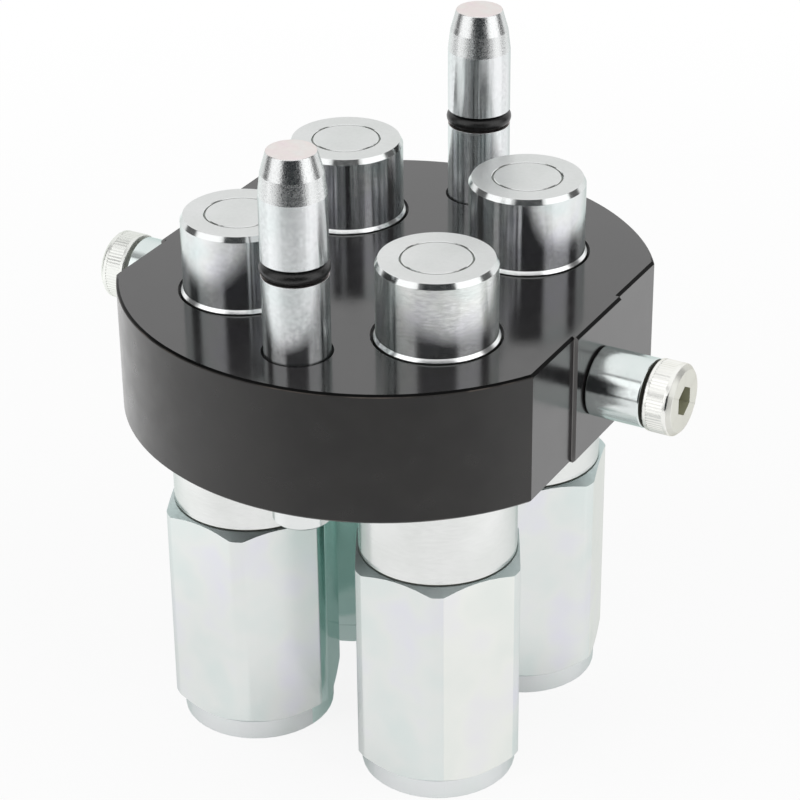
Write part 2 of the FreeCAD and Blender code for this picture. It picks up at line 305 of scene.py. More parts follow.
@dataclass(frozen=True)
class PlatedSteel(CutMetal):
    """Turned or ground steel with bright zinc plating and a clear blue passivation.

    It gives the eye a mirror that is drawn out across the tool marks, mottled by the plating's grain, with
    faint green and lilac tints that grow stronger at a glancing angle.
    """

    film: str = "DEE4E2"
    metal: float = 1.0
    tone_size: float = 12.0
    mottle: float = 0.04
    mottle_size: float = 0.9
    mottle_stretch: float = 1.0

    def shader(self, tree: Tree, local: Socket, place: Place) -> Node:
        """Metal with a tinted film and a mottled grain."""
        across = self.mottle_size * self.mottle_stretch
        mottled = noise(tree, local, (across, across, self.mottle_size), 4.0)
        tint = add_node(tree, "ShaderNodeHueSaturation", {
            "Color": tones(tree, noise(tree, local, self.tone_size), self.codes),
            "Value": between(tree, mottled, 1 - self.mottle, 1.0),
        })
        low, high = self.roughness - self.roughness_spread, self.roughness + self.roughness_spread
        return add_node(tree, "ShaderNodeBsdfPrincipled", {
            "Base Color": tint.outputs[0],
            "Metallic": self.metal,
            "Roughness": between(tree, mottled, high, low),
            "Specular Tint": linear(self.film),
            **self.tool_marks(tree, local, place),
        })


@dataclass(frozen=True)
class AnodisedAluminium(CutMetal):
    """Milled or turned aluminium with a black dyed and sealed anodic layer.

    It gives the eye a deep black that mirrors like dark glass, softened by the etched grain below the layer.
    """

    roughness_spread: float = 0.03
    line_size: float = 0.4
    line_height: float = 0.001
    grain_size: float = 0.5
    grain_height: float = 0.0015
    refraction: float = 1.65
    haze: float = 0.0

    def shader(self, tree: Tree, local: Socket, place: Place) -> Node:
        """Dark dielectric with an etched haze."""
        low, high = self.roughness - self.roughness_spread, self.roughness + self.roughness_spread
        return add_node(tree, "ShaderNodeBsdfPrincipled", {
            "Base Color": tones(tree, noise(tree, local, 8.0, 4.0), self.codes),
            "Metallic": 0.0,
            "IOR": self.refraction,
            "Roughness": between(tree, noise(tree, local, 5.0), low, high),
            "Sheen Weight": self.haze,
            "Sheen Roughness": 0.3,
            **self.tool_marks(tree, local, place),
        })


@dataclass(frozen=True)
class NitrileRubber(Finish):
    """Moulded nitrile rubber with a film of oil, which gives the eye a black ring with one soft highlight."""

    smoothest: float = 0.25
    roughest: float = 0.38

    def shader(self, tree: Tree, local: Socket, place: Place) -> Node:
        """Black dielectric with a moulded grain."""
        grain = noise(tree, local, 0.25)
        return add_node(tree, "ShaderNodeBsdfPrincipled", {
            "Base Color": tones(tree, noise(tree, local, 2.0), self.codes),
            "IOR": 1.52,
            "Roughness": between(tree, grain, self.smoothest, self.roughest),
            "Normal": relief(tree, [(grain, 0.01)]),
        })


def dull_and_painted_steel(label: str, *codes: str, metal: float = 1.0, roughness: float = 0.5) -> PlatedSteel:
    """Steel with a duller finish: the wire's own duller colour, and painted shade in gaps, crevices and the
    ring's foot, painted light on the left roller's ends and a painted reflection in the socket.
    """
    return PlatedSteel(label, codes, roughness=roughness, metal=metal, line_height=0.003)


TURNED_ZINC = PlatedSteel("turned_zinc", ("D2DCDC", "DEE0E0", "DCDCE4"), roughness=0.17,
                          roughness_spread=0.02, anisotropy=1.0, mottle=0.02, grain_height=0.0008)
SCORED_ZINC = PlatedSteel("scored_zinc", ("DEE6E4", "E8EAE8", "E6E6EC"), roughness=0.21,
                          roughness_spread=0.03, anisotropy=1.0, mottle=0.09, mottle_stretch=4.0,
                          mottle_size=0.4, grain_height=0.002)
BRIGHT_ZINC = PlatedSteel("bright_zinc", ("E4E7E6", "E9EAEA"), roughness_spread=0.03, anisotropy=0.3,
                          mottle=0.01, grain_height=0.001)
FACED_ZINC = PlatedSteel("faced_zinc", ("E1E2E1", "E8E8E8"), film="DCE2E0", roughness=0.36, anisotropy=0.3,
                         mottle=0.02)
HEXAGON_ZINC = PlatedSteel("hexagon_zinc", ("DEE6E4", "E6E9E7", "E4E4EC"), film="E4E8E8", roughness=0.26,
                           roughness_spread=0.0, anisotropy=0.3, mottle=0.004, mottle_size=4.0,
                           tone_size=14.0, grain_height=0.0)
# Painted light: a paler copy of HEXAGON_ZINC for the flat that looks away from the plate's centre.
PAINTED_LIGHT_FLAT_ZINC = replace(HEXAGON_ZINC, label="painted_light_flat_zinc", codes=("E7EBE7", "EDEFEB", "EBEBED"), film="ECEEEC")
# Painted reflection: a greener, glossier copy for the flats that face the plate's centre, standing in for the
# tinted reflections between neighbouring hexagons.
PAINTED_GREEN_REFLECTION_ZINC = replace(HEXAGON_ZINC, label="painted_green_reflection_zinc", codes=("D0E4E0", "DAEAE6"), film="D0E2DE",
                     roughness=0.12)
# Partly real and partly painted: a rougher turned chamfer, whose darker teal tone is a painted reflection of
# the shaded underside of the plate.
CONE_ZINC = PlatedSteel("cone_zinc", ("CCDCDA", "DCE4E4"), film="D4DEDC", roughness=0.5, mottle=0.02)
SHOULDER_ZINC = PlatedSteel("shoulder_zinc", ("E2E4E2", "EAEBEA"), film="DCE2E0", roughness=0.19,
                            roughness_spread=0.03, anisotropy=0.6, mottle=0.03, mottle_stretch=4.0,
                            mottle_size=0.5, line_size=0.55, line_height=0.012)
END_ZINC = PlatedSteel("end_zinc", ("E2E8E6", "E6E8E9"), film="DCE4E2", roughness=0.3, roughness_spread=0.0,
                       anisotropy=0.5, mottle=0.006, mottle_size=3.0, line_height=0.003, grain_height=0.0)
PIN_ZINC = PlatedSteel("pin_zinc", ("DCE2E2", "E6E6E8"), roughness=0.2, roughness_spread=0.03, anisotropy=1.0,
                       mottle=0.03, grain_height=0.0015)
PEENED_ZINC = PlatedSteel("peened_zinc", ("E4E6E6", "E9EAEA"), film="DCE2E0", roughness=0.27,
                          roughness_spread=0.06, mottle_size=0.45, grain_size=0.4, grain_height=0.012)
TIP_ZINC = PlatedSteel("tip_zinc", ("F0E6E8", "F0EAE8", "EEEEEC"), film="E8E2E0", roughness=0.4, mottle=0.02,
                       tone_size=5.0)
ROLLER_ZINC = PlatedSteel("roller_zinc", ("DAE4E2", "E8EDEC"), film="D8E2E0", roughness=0.17,
                          roughness_spread=0.03, anisotropy=0.6, mottle=0.01, grain_height=0.0008)
SCREW_ZINC = PlatedSteel("screw_zinc", ("F4F4F0", "F8F8F4"), film="EAEAE4", roughness=0.22,
                         roughness_spread=0.0, mottle=0.0, grain_height=0.0)
HEAD_ZINC = PlatedSteel("head_zinc", ("DCDCD6", "E4E4DE"), film="E4E4DC", roughness=0.42,
                        roughness_spread=0.0, mottle=0.01, mottle_size=2.0, grain_height=0.0)
# Painted light and shade: a retoned copy of HEAD_ZINC for the left screw, lighter on the face and darker on
# the knurled head than the right screw, for how light falls on that side.
PAINTED_LIGHT_HEAD_ZINC = replace(HEAD_ZINC, label="painted_light_head_zinc", codes=("E6E8E4", "EEEFEB"), film="E4E8E2",
                       roughness=0.34)
# Painted reflection: a matt olive that stands in for the yellowish floor that the socket mirrors.
PAINTED_SOCKET_REFLECTION = dull_and_painted_steel("painted_socket_reflection", "92927A", "A2A28A", metal=0.0, roughness=0.6)
# Painted shade: a mid-dark grey for the narrow gap round the poppet, on the bore's lower break and the
# poppet's slot.
GAP_SHADE_ZINC = dull_and_painted_steel("gap_shade_zinc", "9A9C98", "A4A6A2", metal=0.3)
# Painted light: a paler matt grey for the left roller's ends and screw shoulder, lighter than the painted
# shade the right one gets.
PAINTED_LIGHT_END_ZINC = dull_and_painted_steel("painted_light_end_zinc", "C4C6C2", "CED0CC", metal=0.0)
# Painted shade: a dark grey for crevices between parts, at the foot of the nose's shoulder and at the right
# roller's ends and screw shoulder.
CREVICE_SHADE_ZINC = dull_and_painted_steel("crevice_shade_zinc", "50504A", "5C5C54", metal=0.2)
# Painted shade: near black for the ring's foot in the gap of the counterbore.
DEEP_SHADE_ZINC = dull_and_painted_steel("deep_shade_zinc", "20201E", "2A2A28", metal=0.3)
WIRE_STEEL = dull_and_painted_steel("wire_steel", "8C8C8E", "9A9A9C", roughness=0.35)
RING_STEEL = PlatedSteel("ring_steel", ("F6F8F8", "FCFCFC"), film="F4F8F6", roughness=0.2,
                         roughness_spread=0.03, mottle=0.01)
FACED_BLACK = AnodisedAluminium("faced_black", ("121011", "191718"), refraction=1.79, roughness=0.12)
TURNED_BLACK = AnodisedAluminium("turned_black", ("161413", "1C1A18"), refraction=1.5, roughness=0.3,
                                 anisotropy=0.85, line_height=0.002, haze=0.42)
MILLED_BLACK = AnodisedAluminium("milled_black", ("1A1819", "211F20"), refraction=2.0, roughness=0.2)
# Painted reflection: a near-black, barely reflecting finish for the plate's edge breaks, standing in for the
# dark surroundings they mirror.
PAINTED_DARK_EDGE = AnodisedAluminium("painted_dark_edge", ("050505", "080808"), refraction=1.15, roughness=0.3)
WORN_BLACK = AnodisedAluminium("worn_black", ("151311", "221F1C", "554D47"), refraction=1.4, roughness=0.4)
# Painted light: a mid grey on the black steps at the pads' ends and the fillet strips beside them, standing
# in for the light they catch and its reflection in the flats.
PAINTED_LIGHT_STEP = AnodisedAluminium("painted_light_step", ("6C6A69", "757372"), roughness=0.5)
SEAL_RUBBER = NitrileRubber("seal_rubber", ("121212", "1A1919"))

Choice = Callable[[Vector, Vector], Finish]


# Meshes


def rounded(corners: Sequence[Corner], closed: bool) -> list[Point]:
    """Round each corner of an outline by its own break.

    Args:
        corners: Radius and height of each corner in millimetres, with the size of its break if it has one.
        closed: Whether the outline's end joins its start. Otherwise both lie on the axis.

    Returns:
        Points of the outline, in millimetres.
    """
    count = len(corners)
    points: list[Point] = []
    for number, (radius, height, *sizes) in enumerate(corners):
        here = Vector((radius, height))
        at_end = not closed and number in (0, count - 1)
        if at_end or not sizes:
            points.append((radius, height))
            continue
        size = sizes[0]
        before = Vector(corners[number - 1][:2]) - here
        after = Vector(corners[(number + 1) % count][:2]) - here
        start = here + before * min(size / before.length, ROUND_REACH)
        end = here + after * min(size / after.length, ROUND_REACH)
        for step in range(ROUND_STEPS + 1):
            share = step / ROUND_STEPS
            mixed = start * (1 - share) ** 2 + here * 2 * share * (1 - share) + end * share ** 2
            points.append((mixed.x, mixed.y))
    return points


def revolved(outline_at: OutlineAt, angles: Sequence[float], turn: Matrix, gap: bool = False) -> Mesh:
    """Sweep an outline round an axis, where the outline may change with the angle.

    Args:
        outline_at: Gives the outline's points in millimetres for an angle in radians, always as many.
        angles: The angles at which the outline is set.
        turn: Lays the piece where it belongs, in metres.
        gap: Whether the ring stays open between the last angle and the first, with a cap at each end.

    Returns:
        The closed mesh, in metres.
    """
    shape = bmesh.new()
    columns = []
    poles: dict[int, bmesh.types.BMVert] = {}
    for angle in angles:
        column = []
        for row, (radius, height) in enumerate(outline_at(angle)):
            spot = Vector((radius * math.cos(angle), radius * math.sin(angle), height)) * MM
            if radius == 0:
                poles[row] = poles.get(row) or shape.verts.new(spot)
                column.append(poles[row])
            else:
                column.append(shape.verts.new(spot))
        columns.append(column)
    rows = len(columns[0])
    joined = rows if not poles else rows - 1
    for left, right in zip(columns, columns[1:] + ([] if gap else columns[:1])):
        for row in range(joined):
            above = (row + 1) % rows
            corners = [left[row], right[row], right[above], left[above]]
            shape.faces.new(list(dict.fromkeys(corners)))
    if gap:
        shape.faces.new(columns[0])
        shape.faces.new(columns[-1])
    bmesh.ops.recalc_face_normals(shape, faces=shape.faces)
    shape.transform(turn)
    return finished(shape)


def finished(shape: Shape) -> Mesh:
    """Shade a mesh smooth with sharp edges where it turns hard, and let large faces set the normals.

    Args:
        shape: The mesh in work, which is freed.

    Returns:
        The mesh with its own normals.
    """
    for face in shape.faces:
        face.smooth = True
    for edge in shape.edges:
        edge.smooth = len(edge.link_faces) == 2 and edge.calc_face_angle(0.0) < HARD_TURN
    mesh = bpy.data.meshes.new("shape")
    shape.to_mesh(mesh)
    shape.free()
    holder = add_object("holder", mesh)
    weighted = holder.modifiers.new("normals", "WEIGHTED_NORMAL")
    weighted.keep_sharp = True
    weighted.weight = 100
    result = plain_mesh(holder)
    bpy.data.meshes.remove(mesh)
    return result


def plain_mesh(holder: bpy.types.Object) -> Mesh:
    """Take the evaluated mesh of an object with modifiers, and remove the object."""
    graph = bpy.context.evaluated_depsgraph_get()
    mesh = bpy.data.meshes.new_from_object(holder.evaluated_get(graph), preserve_all_data_layers=True,
                                           depsgraph=graph)
    bpy.data.objects.remove(holder)
    return mesh


def hexagon_radius(angle: float, across_flats: float) -> float:
    """Distance from the axis to a hexagon's side, with two of its corners on the X axis."""
    sixth = math.pi / 3
    return across_flats / 2 / math.cos(angle % sixth - sixth / 2)


def hexagon_angles(crowded: float) -> list[float]:
    """Angles for a hexagonal sweep, with more of them near the ends of each flat.

    Args:
        crowded: How far from the middle of a flat the angles crowd, in degrees.

    Returns:
        Angles of a full turn, in radians.
    """
    near = [crowded + step for step in HEXAGON_CROWD]
    offsets = sorted([-step for step in near] + list(HEXAGON_OPEN) + near)
    return [math.radians(60 * side + 30 + offset) for side in range(6) for offset in offsets + [30.0]]


def put(name: str, mesh: Mesh, body: str, slot: str, *nodes: str) -> None:
    """Show a mesh as a piece of the object that rides on a body and stands for nodes."""
    mesh.name = name
    piece = add_object(name, mesh)
    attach(piece, body)
    if nodes:
        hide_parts(*nodes)
    log.info("%s rides on %s", name, body)


def dress(mesh: Mesh, place: Place, choose: Choice) -> None:
    """Give each face of a mesh its finish.

    Args:
        mesh: The mesh, in metres.
        place: Where the piece stands.
        choose: Picks a face's finish from its centre and normal, along the piece's axis and in millimetres.
    """
    mesh.materials.clear()
    numbers: dict[Finish, int] = {}
    back = place.matrix.inverted()
    turn = back.to_3x3()
    for face in mesh.polygons:
        finish = choose(back @ face.center / MM, turn @ face.normal)
        if finish not in numbers:
            numbers[finish] = len(numbers)
            mesh.materials.append(finish.material(place))
        face.material_index = numbers[finish]


def is_end_face(normal: Vector) -> bool:
    """Whether a face looks along the piece's axis."""
    return abs(normal.z) > END_COSINE


# Geometry nodes


def new_geometry_tree(name: str, **inputs: str) -> tuple[Tree, bpy.types.bpy_prop_collection]:
    """Start a Geometry Nodes tree with named inputs.

    Args:
        name: The tree's name.
        **inputs: Kinds of its inputs by their names.

    Returns:
        The tree and the sockets that give its inputs.
    """
    tree = bpy.data.node_groups.new(name, "GeometryNodeTree")
    for label, kind in inputs.items():
        tree.interface.new_socket(label, in_out="INPUT", socket_type=f"NodeSocket{kind}")
    tree.interface.new_socket("Geometry", in_out="OUTPUT", socket_type="NodeSocketGeometry")
    return tree, add_node(tree, "NodeGroupInput").outputs


def close_geometry_tree(tree: Tree, given: bpy.types.bpy_prop_collection, result: Socket) -> None:
    """End a tree in real geometry that carries the material of its input."""
    real = add_node(tree, "GeometryNodeRealizeInstances", {"Geometry": result})
    dressed = add_node(tree, "GeometryNodeSetMaterial", {
        "Geometry": real.outputs[0], "Material": given["Material"],
    })
    add_node(tree, "NodeGroupOutput", {0: dressed.outputs[0]})


@functools.cache
def smooth_shading() -> Tree:
    """Geometry Nodes tree that welds loose triangles and shades them smooth except at hard turns."""
    tree, given = new_geometry_tree("smooth_shading", Geometry="Geometry")
    welded = add_node(tree, "GeometryNodeMergeByDistance", {
        "Geometry": given["Geometry"], "Distance": WELD_DISTANCE,
    })
    turn = add_node(tree, "GeometryNodeInputMeshEdgeAngle")
    soft = add_node(tree, "FunctionNodeCompare", {
        0: turn.outputs["Unsigned Angle"], 1: HARD_TURN,
    }, operation="LESS_THAN")
    faces = add_node(tree, "GeometryNodeSetShadeSmooth", {
        "Geometry": welded.outputs[0], "Shade Smooth": True,
    }, domain="FACE")
    edges = add_node(tree, "GeometryNodeSetShadeSmooth", {
        "Geometry": faces.outputs[0], "Shade Smooth": soft.outputs[0],
    }, domain="EDGE")
    add_node(tree, "NodeGroupOutput", {0: edges.outputs[0]})
    return tree


@functools.cache
def knurl_tree() -> Tree:
    """Low ridges along a cylinder, evenly spaced round it."""
    tree, given = new_geometry_tree("knurl", Ridges="Int", Radius="Float", Height="Float", Width="Float",
                                    Start="Float", Length="Float", Material="Material")
    ring = add_node(tree, "GeometryNodeMeshCircle", {"Vertices": given["Ridges"], "Radius": given["Radius"]})
    ridge = add_node(tree, "GeometryNodeMeshCylinder", {
        "Vertices": 4, "Radius": given["Width"], "Depth": given["Length"],
    })
    middle = calc(tree, "ADD", given["Start"], calc(tree, "DIVIDE", given["Length"], 2.0))
    flatness = calc(tree, "DIVIDE", given["Height"], given["Width"])
    lift = add_node(tree, "ShaderNodeCombineXYZ", {"Z": middle})
    shape = add_node(tree, "ShaderNodeCombineXYZ", {"X": flatness, "Y": 1.0, "Z": 1.0})
    raised = add_node(tree, "GeometryNodeTransform", {
        "Geometry": ridge.outputs["Mesh"], "Translation": lift.outputs[0], "Scale": shape.outputs[0],
    })
    spot = add_node(tree, "GeometryNodeInputPosition")
    outward = add_node(tree, "FunctionNodeAlignRotationToVector", {"Vector": spot.outputs[0]}, axis="X")
    ridges = add_node(tree, "GeometryNodeInstanceOnPoints", {
        "Points": ring.outputs[0], "Instance": raised.outputs[0], "Rotation": outward.outputs[0],
    })
    close_geometry_tree(tree, given, ridges.outputs[0])
    return tree


@functools.cache
def thread_tree() -> Tree:
    """Thread ridge that winds round the inside of a hole."""
    tree, given = new_geometry_tree("thread", Turns="Float", Radius="Float", Depth="Float", Start="Float",
                                    Length="Float", Material="Material")
    path = add_node(tree, "GeometryNodeCurveSpiral", {
        "Resolution": 72, "Rotations": given["Turns"], "Start Radius": given["Radius"],
        "End Radius": given["Radius"], "Height": given["Length"],
    })
    section = add_node(tree, "GeometryNodeCurvePrimitiveCircle", {
        "Resolution": 4, "Radius": given["Depth"],
    }, mode="RADIUS")
    ridge = add_node(tree, "GeometryNodeCurveToMesh", {
        "Curve": path.outputs[0], "Profile Curve": section.outputs[0], "Fill Caps": True,
    })
    lift = add_node(tree, "ShaderNodeCombineXYZ", {"Z": given["Start"]})
    raised = add_node(tree, "GeometryNodeTransform", {
        "Geometry": ridge.outputs[0], "Translation": lift.outputs[0],
    })
    close_geometry_tree(tree, given, raised.outputs[0])
    return tree


def grown(tree: Tree, values: dict[str, object], turn: Matrix) -> Mesh:
    """Grow a mesh from a Geometry Nodes tree.

    Args:
        tree: The tree, whose inputs are set by their identifiers.
        values: Values by the input's name.
        turn: Lays the result where it belongs.

    Returns:
        The plain mesh, in metres.
    """
    holder = add_object("holder", bpy.data.meshes.new("seed"))
    modifier = holder.modifiers.new("grow", "NODES")
    modifier.node_group = tree
    for item in tree.interface.items_tree:
        if item.in_out == "INPUT":
            modifier[item.identifier] = values[item.name]
    mesh = plain_mesh(holder)
    mesh.transform(turn)
    return mesh


# Sub-assemblies


@dataclass
class Plate:
    """The black plate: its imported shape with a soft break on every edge, faced on top and turned round."""

    edge_softness: float = 0.06
    edge_turn: float = 30.0
    flatness: float = 0.2
    worn_depth: float = 0.42
    rim_reach: float = 58.3
    flat_distance: float = 51.3
    pad_width: float = 21.6
    step_fillet: float = 0.6
    foot_width: float = 0.02
    node: str = "plate"

    def build(self) -> None:
        """Make the plate's piece and dress it."""
        place = Place(self.node, Vector((0, 0, 0)))
        shape = bmesh.new()
        shape.from_mesh(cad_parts[self.node].data)
        bmesh.ops.remove_doubles(shape, verts=shape.verts, dist=WELD_DISTANCE)
        bmesh.ops.dissolve_limit(shape, angle_limit=math.radians(self.flatness), verts=shape.verts,
                                 edges=shape.edges)
        bmesh.ops.bisect_plane(shape, geom=shape.verts[:] + shape.edges[:] + shape.faces[:],
                               plane_co=(0, 0, -self.worn_depth * MM), plane_no=(0, 0, 1))
        self.soften(shape, self.is_step_foot, self.step_fillet, 4)
        self.soften(shape, self.is_outer_edge, self.edge_softness, 2)
        mesh = finished(shape)
        dress(mesh, place, self.finish_of)
        put("base_plate", mesh, PLATE_BODY, "black_anodised", self.node)

    def soften(self, shape: Shape, picks: Callable[[Edge], bool], size: float,
               segments: int) -> None:
        """Round the edges that a test picks, by a size in millimetres."""
        edges = [edge for edge in shape.edges if picks(edge)]
        bmesh.ops.bevel(shape, geom=edges, offset=size * MM, segments=segments, profile=0.5, affect="EDGES",
                        clamp_overlap=True)

    def is_outer_edge(self, edge: Edge) -> bool:
        """Whether an edge is an outer corner between two faces."""
        joins_two = len(edge.link_faces) == 2
        return joins_two and edge.is_convex and edge.calc_face_angle(0.0) > math.radians(self.edge_turn)

    def is_step_foot(self, edge: Edge) -> bool:
        """Whether an edge is part of the inner corner between a flat and the end of its pad."""
        at_pad = all(abs(abs(vert.co.y) - self.pad_width / 2 * MM) < self.foot_width * MM
                     and abs(vert.co.x) > (self.flat_distance - 1) * MM for vert in edge.verts)
        return at_pad and not edge.is_convex

    def finish_of(self, centre: Vector, normal: Vector) -> Finish:
        """Faced top and bottom, milled flats, painted light on the steps at the pads' ends, edge breaks
        painted dark as a dark reflection, and a turned rim.
        """
        leaning, square = 0.2, 0.999
        if is_end_face(normal):
            return FACED_BLACK
        if abs(normal.z) > leaning:
            worn = centre.xy.length > self.rim_reach and centre.z < -self.worn_depth
            # Leaning edge breaks: a worn band low on the rim, elsewhere a painted dark reflection.
            return WORN_BLACK if worn else PAINTED_DARK_EDGE
        if abs(normal.x) > square:
            return MILLED_BLACK
        # Painted light on the steps at the pads' ends and their fillet strips.
        if abs(centre.x) > self.flat_distance and abs(centre.y) < self.pad_width / 2 + self.step_fillet:
            return PAINTED_LIGHT_STEP
        return TURNED_BLACK


@dataclass
class Group:
    """Pieces on one axis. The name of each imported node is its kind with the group's label."""

    label: str
    anchor: ClassVar[str]
    prefix: ClassVar[str] = ""
    axis: ClassVar[Axis] = Axis.UP

    def node(self, kind: str) -> str:
        """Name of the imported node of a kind."""
        return f"{kind}_{self.label}"

    @functools.cached_property
    def place(self) -> Place:
        """The axis of the anchor, with distances measured from the middle of the plate's top face."""
        low, high = box_of(self.node(self.anchor))
        centre = (low + high) / 2 * MM
        if self.axis is Axis.UP:
            centre.z = 0
        else:
            centre.x = 0
        return Place(f"{self.prefix}{self.label}", centre, self.axis)

    def reach(self, kind: str) -> tuple[float, float]:
        """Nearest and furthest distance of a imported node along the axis, in millimetres."""
        low, high = box_of(self.node(kind))
        if self.axis is Axis.UP:
            return low.z, high.z
        return (low.x, high.x) if self.axis is Axis.RIGHT else (-high.x, -low.x)

    def turned(self, corners: Sequence[Corner], closed: bool, segments: int) -> Mesh:
        """Turn a round piece from the corners of its outline."""
        outline = rounded(corners, closed)
        angles = [2 * math.pi * step / segments for step in range(segments)]
        return revolved(lambda angle: outline, angles, self.place.matrix)

    def show(self, name: str, mesh: Mesh, choose: Choice, slot: str, kind: str,
             body: str = PLATE_BODY) -> None:
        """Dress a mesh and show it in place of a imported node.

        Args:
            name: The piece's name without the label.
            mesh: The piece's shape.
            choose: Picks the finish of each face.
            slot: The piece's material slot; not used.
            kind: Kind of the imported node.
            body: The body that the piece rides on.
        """
        dress(mesh, self.place, choose)
        put(f"{name}_{self.label}", mesh, body, slot, self.node(kind))

    def dress_nodes(self, **finishes: Finish) -> None:
        """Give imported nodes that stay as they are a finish, welded and shaded smooth."""
        for kind, finish in finishes.items():
            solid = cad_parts[self.node(kind)]
            solid.data.materials.clear()
            solid.data.materials.append(finish.material(self.place))
            solid.modifiers.new("shading", "NODES").node_group = smooth_shading()


@dataclass
class CouplingLine(Group):
    """One of the four lines: nose body, retaining ring, valve and port adaptor."""

    anchor: ClassVar[str] = "nose_body"
    hex_turn: float
    wall_finish: Finish = TURNED_ZINC
    nose_diameter: float = 26.1
    nose_chamfer_width: float = 0.65
    nose_chamfer_height: float = 1.2
    shoulder_diameter: float = 35.0
    plate_bottom: float = -30.4
    shoulder_bottom: float = -51.75
    chamber_diameter: float = 21.6
    chamber_floor: float = -34.0
    pilot_diameter: float = 24.1
    thread_diameter: float = 28.1
    thread_top: float = -42.55
    play: float = 0.05
    land_bottom: float = 7.9
    ring_outer_diameter: float = 27.2
    ring_inner_diameter: float = 24.7
    ring_top: float = 0.9
    ring_slope_height: float = 0.8
    ring_bottom: float = -2.0
    ring_gap: float = 16.0
    ring_gap_turn: float = 118.0
    poppet_diameter: float = 15.6
    flange_diameter: float = 18.6
    flange_bottom: float = 5.4
    boss_diameter: float = 8.6
    boss_bottom: float = 1.4
    tail_diameter: float = 6.0
    seal_groove: tuple[float, float, float] = (12.566, 14.434, 5.99)
    across_flats: float = 36.0
    corner_diameter: float = 40.0
    corner_blend: float = 0.08
    hex_bottom: float = -103.15
    hex_land_diameter: float = 35.3
    top_angle: float = 30.0
    bottom_angle: float = 40.0
    end_diameter: float = 35.0
    end_wall: float = 2.0
    spigot_top: float = -38.0
    pilot_land: float = 1.3
    pilot_groove_depth: float = 1.77
    flow_bore_diameter: float = 18.0
    drill_angle: float = 59.0
    port_core_diameter: float = 24.12
    port_thread_depth: float = 1.162
    port_thread_pitch: float = 1.814
    port_thread_runout: tuple[float, float] = (1.0, 2.0)
    port_thread_start: float = 2.2
    port_thread_spare: float = 4.5
    port_depth: float = 20.0
    port_mouth: float = 1.3
    port_mouth_width: float = 0.3
    valve_break: float = 0.14
    slot_width: float = 0.28
    slot_depth: float = 0.38
    shoulder_break: float = 0.45
    edge: float = 0.05
    segments: int = 192

    def build(self) -> None:
        """Make and dress every piece of the line."""
        self.build_nose()
        self.build_ring()
        self.build_poppet()
        self.build_adaptor()
        self.dress_nodes(poppet_seal=SEAL_RUBBER, adaptor_seal=SEAL_RUBBER, poppet_spring=WIRE_STEEL,
                         spring_cage=TURNED_ZINC)

    def build_nose(self) -> None:
        """Nose, shank and shoulder, turned from one bar."""
        top = self.reach("nose_body")[1]
        nose, shoulder = self.nose_diameter / 2, self.shoulder_diameter / 2
        bore = self.poppet_diameter / 2 + self.play
        inner = self.ring_inner_diameter / 2
        mesh = self.turned([
            (bore + self.valve_break, top),
            (bore, top - self.valve_break),
            (bore, self.land_bottom),
            (self.chamber_diameter / 2, self.land_bottom),
            (self.chamber_diameter / 2, self.chamber_floor),
            (self.pilot_diameter / 2, self.chamber_floor),
            (self.pilot_diameter / 2, self.thread_top),
            (self.thread_diameter / 2, self.thread_top),
            (self.thread_diameter / 2, self.shoulder_bottom),
            (shoulder, self.shoulder_bottom, self.shoulder_break),
            (shoulder, self.plate_bottom, self.shoulder_break),
            (nose, self.plate_bottom),
            (nose, self.ring_bottom),
            (inner, self.ring_bottom),
            (inner, self.ring_top),
            (nose, self.ring_top, 0.03),
            (nose, top - self.nose_chamfer_height, self.edge),
            (nose - self.nose_chamfer_width, top, self.edge),
        ], True, self.segments)
        self.show("nose", mesh, self.nose_finish, "plated_steel", "nose_body")

    def nose_finish(self, centre: Vector, normal: Vector) -> Finish:
        """Faced end with a bright chamfer, turned nose, coarser shoulder, and painted shade where two pieces
        meet.
        """
        top = self.reach("nose_body")[1]
        # Painted shade below the shoulder, for the crevice against the port adaptor.
        if centre.z < self.shoulder_bottom + self.shoulder_break:
            return CREVICE_SHADE_ZINC
        if centre.z < self.plate_bottom:
            return SHOULDER_ZINC
        # Bore break: bright at the top, painted shade further down in the gap round the poppet.
        if centre.xy.length < self.poppet_diameter / 2 + self.valve_break:
            return BRIGHT_ZINC if centre.z > top - self.valve_break else GAP_SHADE_ZINC
        if is_end_face(normal):
            return FACED_ZINC
        return BRIGHT_ZINC if centre.z > top - self.nose_chamfer_height else self.wall_finish

    def build_ring(self) -> None:
        """Split ring at the foot of the nose."""
        inner, outer = self.ring_inner_diameter / 2, self.ring_outer_diameter / 2
        outline = rounded([
            (inner, self.ring_bottom, 0.1),
            (outer, self.ring_bottom, 0.1),
            (outer, self.ring_top - self.ring_slope_height, 0.15),
            (self.nose_diameter / 2, self.ring_top),
            (inner, self.ring_top),
        ], closed=True)
        first = self.ring_gap_turn + self.ring_gap / 2
        sweep = 360 - self.ring_gap
        angles = [math.radians(first + sweep * step / self.segments) for step in range(self.segments + 1)]
        mesh = revolved(lambda angle: outline, angles, self.place.matrix, gap=True)
        self.show("ring", mesh, self.ring_finish, "ring_steel", "retaining_ring")

    def ring_finish(self, centre: Vector, normal: Vector) -> Finish:
        """Bright slope and top, and a near-black foot with painted shade where it sits in the plate's
        counterbore.
        """
        return RING_STEEL if normal.z > 0.3 else DEEP_SHADE_ZINC

